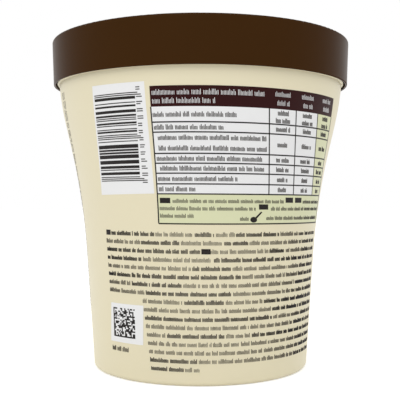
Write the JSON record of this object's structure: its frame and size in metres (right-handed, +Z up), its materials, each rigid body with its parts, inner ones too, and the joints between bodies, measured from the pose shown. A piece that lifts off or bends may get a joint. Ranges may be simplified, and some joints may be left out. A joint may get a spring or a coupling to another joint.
{
  "type": "ice cream tub",
  "caption": "Round ice cream tub, shut: a flared pale tub with a printed back, under a deep dark press-on lid.",
  "frame": {"origin": "middle of the base, on the surface that the tub stands on", "axes": "+Z up along the axis of the tub; -Y is the printed back face, and +X is on the right of someone who looks at that face"},
  "size_m": [0.096, 0.096, 0.1037],
  "materials": {
    "tub_plastic": "satin",
    "lid_plastic": "satin",
    "print_white": "satin",
    "print_green": "satin",
    "print_dark": "satin"
  },
  "bodies": {
    "root": {"tub": "tub_plastic", "lid": "lid_plastic"}
  },
  "joints": []
}
